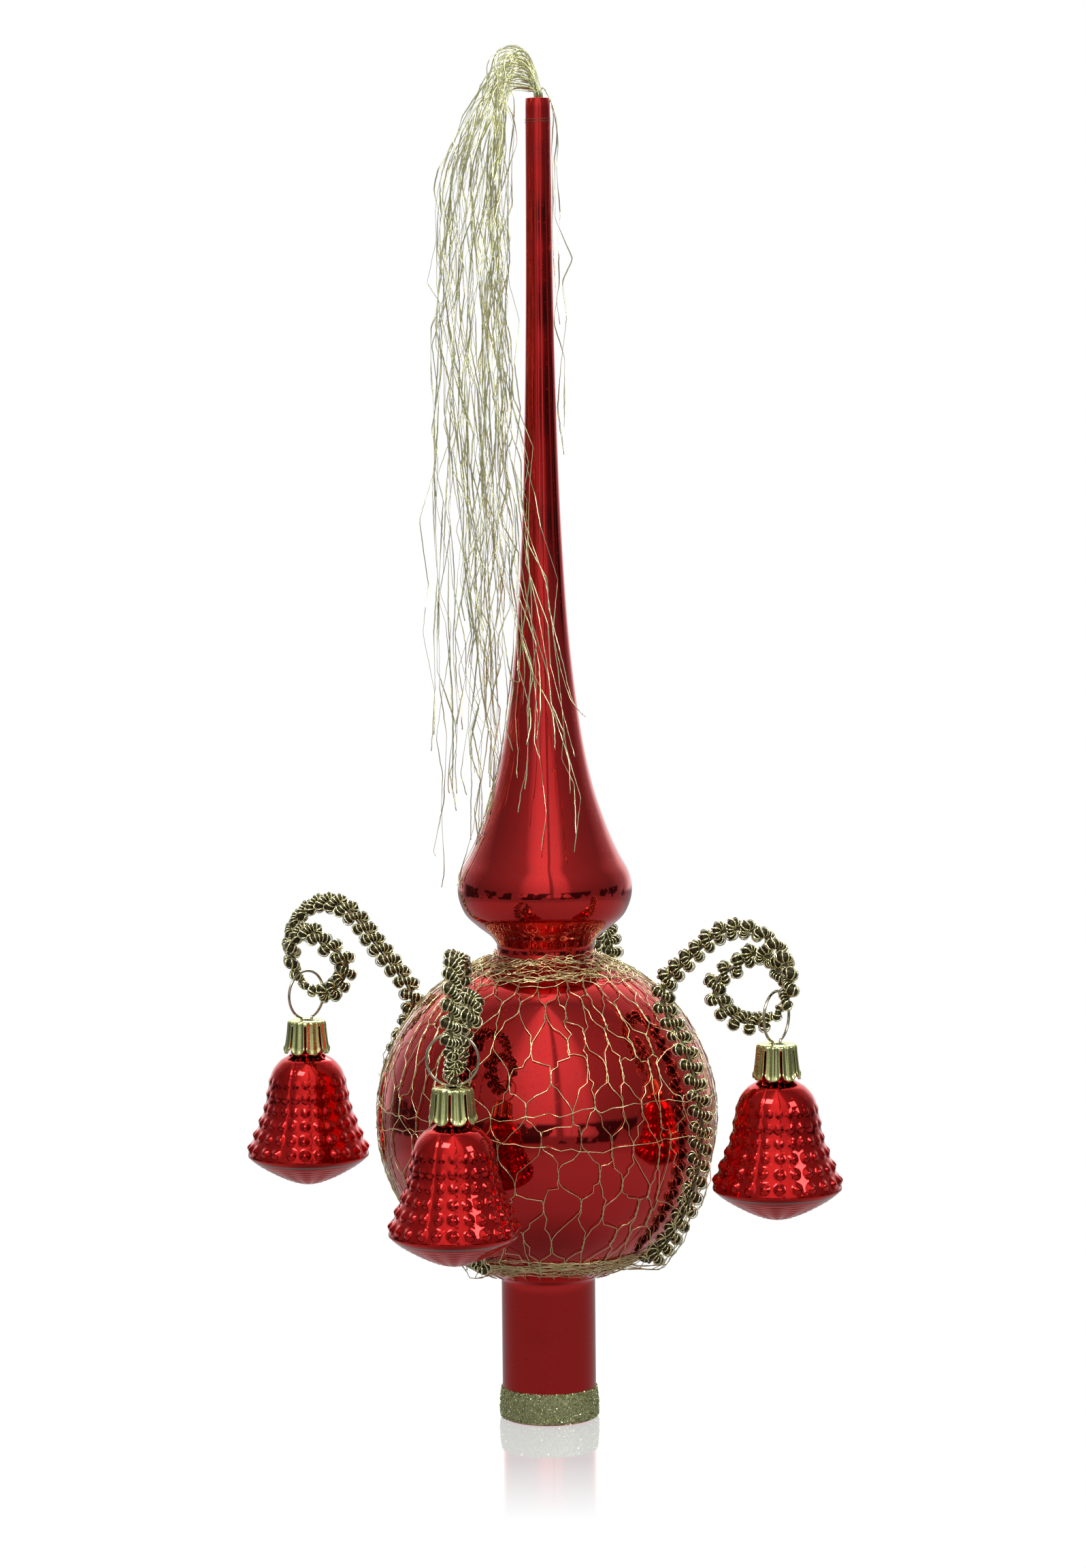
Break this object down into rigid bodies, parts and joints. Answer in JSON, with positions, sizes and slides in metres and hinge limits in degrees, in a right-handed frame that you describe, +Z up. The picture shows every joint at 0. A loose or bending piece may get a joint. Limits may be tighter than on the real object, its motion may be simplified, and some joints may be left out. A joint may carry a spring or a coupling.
{
  "type": "tree topper with bells",
  "caption": "Mirrored red glass tree topper: a netted ball, a bulb and a spire on a socket tube, with small bells hung from curled beaded wire arms.",
  "frame": {"origin": "centre of the socket's mouth, at the tube's lower rim", "axes": "+Z up along the glass axis to the spire's tip, -Y towards the front"},
  "size_m": [0.141, 0.1474, 0.3231],
  "materials": {
    "red_glass": "silvered inside, red lacquer, mirror gloss",
    "glitter": "gold glitter flakes in glue",
    "net_wire": "bright crinkled wire",
    "core_wire": "dull annealed wire",
    "bouillon": "bright flat wire, coiled into beads",
    "hanger_wire": "bright spring wire",
    "gold_cap": "gold anodised sheet, polished",
    "tinsel": "fine crinkled metal strands"
  },
  "bodies": {
    "topper": {"glass_topper": "red_glass", "glitter_band": "glitter", "wire_net": "net_wire", "net_tie_top": "net_wire", "net_tie_bottom": "net_wire", "arm_core_left": "core_wire", "arm_core_front": "core_wire", "arm_core_right": "core_wire", "arm_core_back": "core_wire", "arm_bouillon_left": "bouillon", "arm_bouillon_front": "bouillon", "arm_bouillon_right": "bouillon", "arm_bouillon_back": "bouillon", "tinsel_binding": "net_wire", "tinsel_spray": "tinsel"},
    "hanger_left": {"bell_hanger_left": "hanger_wire"},
    "bell_left": {"bell_cap_left": "gold_cap", "bell_glass_left": "red_glass"},
    "hanger_front": {"bell_hanger_front": "hanger_wire"},
    "bell_front": {"bell_cap_front": "gold_cap", "bell_glass_front": "red_glass"},
    "hanger_right": {"bell_hanger_right": "hanger_wire"},
    "bell_right": {"bell_cap_right": "gold_cap", "bell_glass_right": "red_glass"},
    "hanger_back": {"bell_hanger_back": "hanger_wire"},
    "bell_back": {"bell_cap_back": "gold_cap", "bell_glass_back": "red_glass"}
  },
  "joints": [
    {"name": "swing_left", "type": "hinge", "parent": "topper", "child": "hanger_left", "pos_m": [-0.05876, 0.04323, 0.0979], "axis": [-0.7314, 0.682, 0], "range_deg": [-40, 40]},
    {"name": "tip_left", "type": "hinge", "parent": "hanger_left", "child": "bell_left", "pos_m": [-0.05876, 0.04323, 0.08959], "axis": [0.682, 0.7314, 0], "range_deg": [-3, 10]},
    {"name": "swing_front", "type": "hinge", "parent": "topper", "child": "hanger_front", "pos_m": [-0.02109, -0.05617, 0.09474], "axis": [-0.0698, -0.9976, 0], "range_deg": [-40, 40]},
    {"name": "tip_front", "type": "hinge", "parent": "hanger_front", "child": "bell_front", "pos_m": [-0.02109, -0.05617, 0.08795], "axis": [-0.9976, 0.0698, 0], "range_deg": [-3, 10]},
    {"name": "swing_right", "type": "hinge", "parent": "topper", "child": "hanger_right", "pos_m": [0.05273, -0.03436, 0.10114], "axis": [0.848, -0.5299, 0], "range_deg": [-40, 40]},
    {"name": "tip_right", "type": "hinge", "parent": "hanger_right", "child": "bell_right", "pos_m": [0.05273, -0.03436, 0.09392], "axis": [-0.5299, -0.848, 0], "range_deg": [-3, 10]},
    {"name": "swing_back", "type": "hinge", "parent": "topper", "child": "hanger_back", "pos_m": [0.01539, 0.06173, 0.09095], "axis": [0.2419, 0.9703, 0], "range_deg": [-40, 40]},
    {"name": "tip_back", "type": "hinge", "parent": "hanger_back", "child": "bell_back", "pos_m": [0.01539, 0.06173, 0.08276], "axis": [0.9703, -0.2419, 0], "range_deg": [-3, 10]}
  ]
}
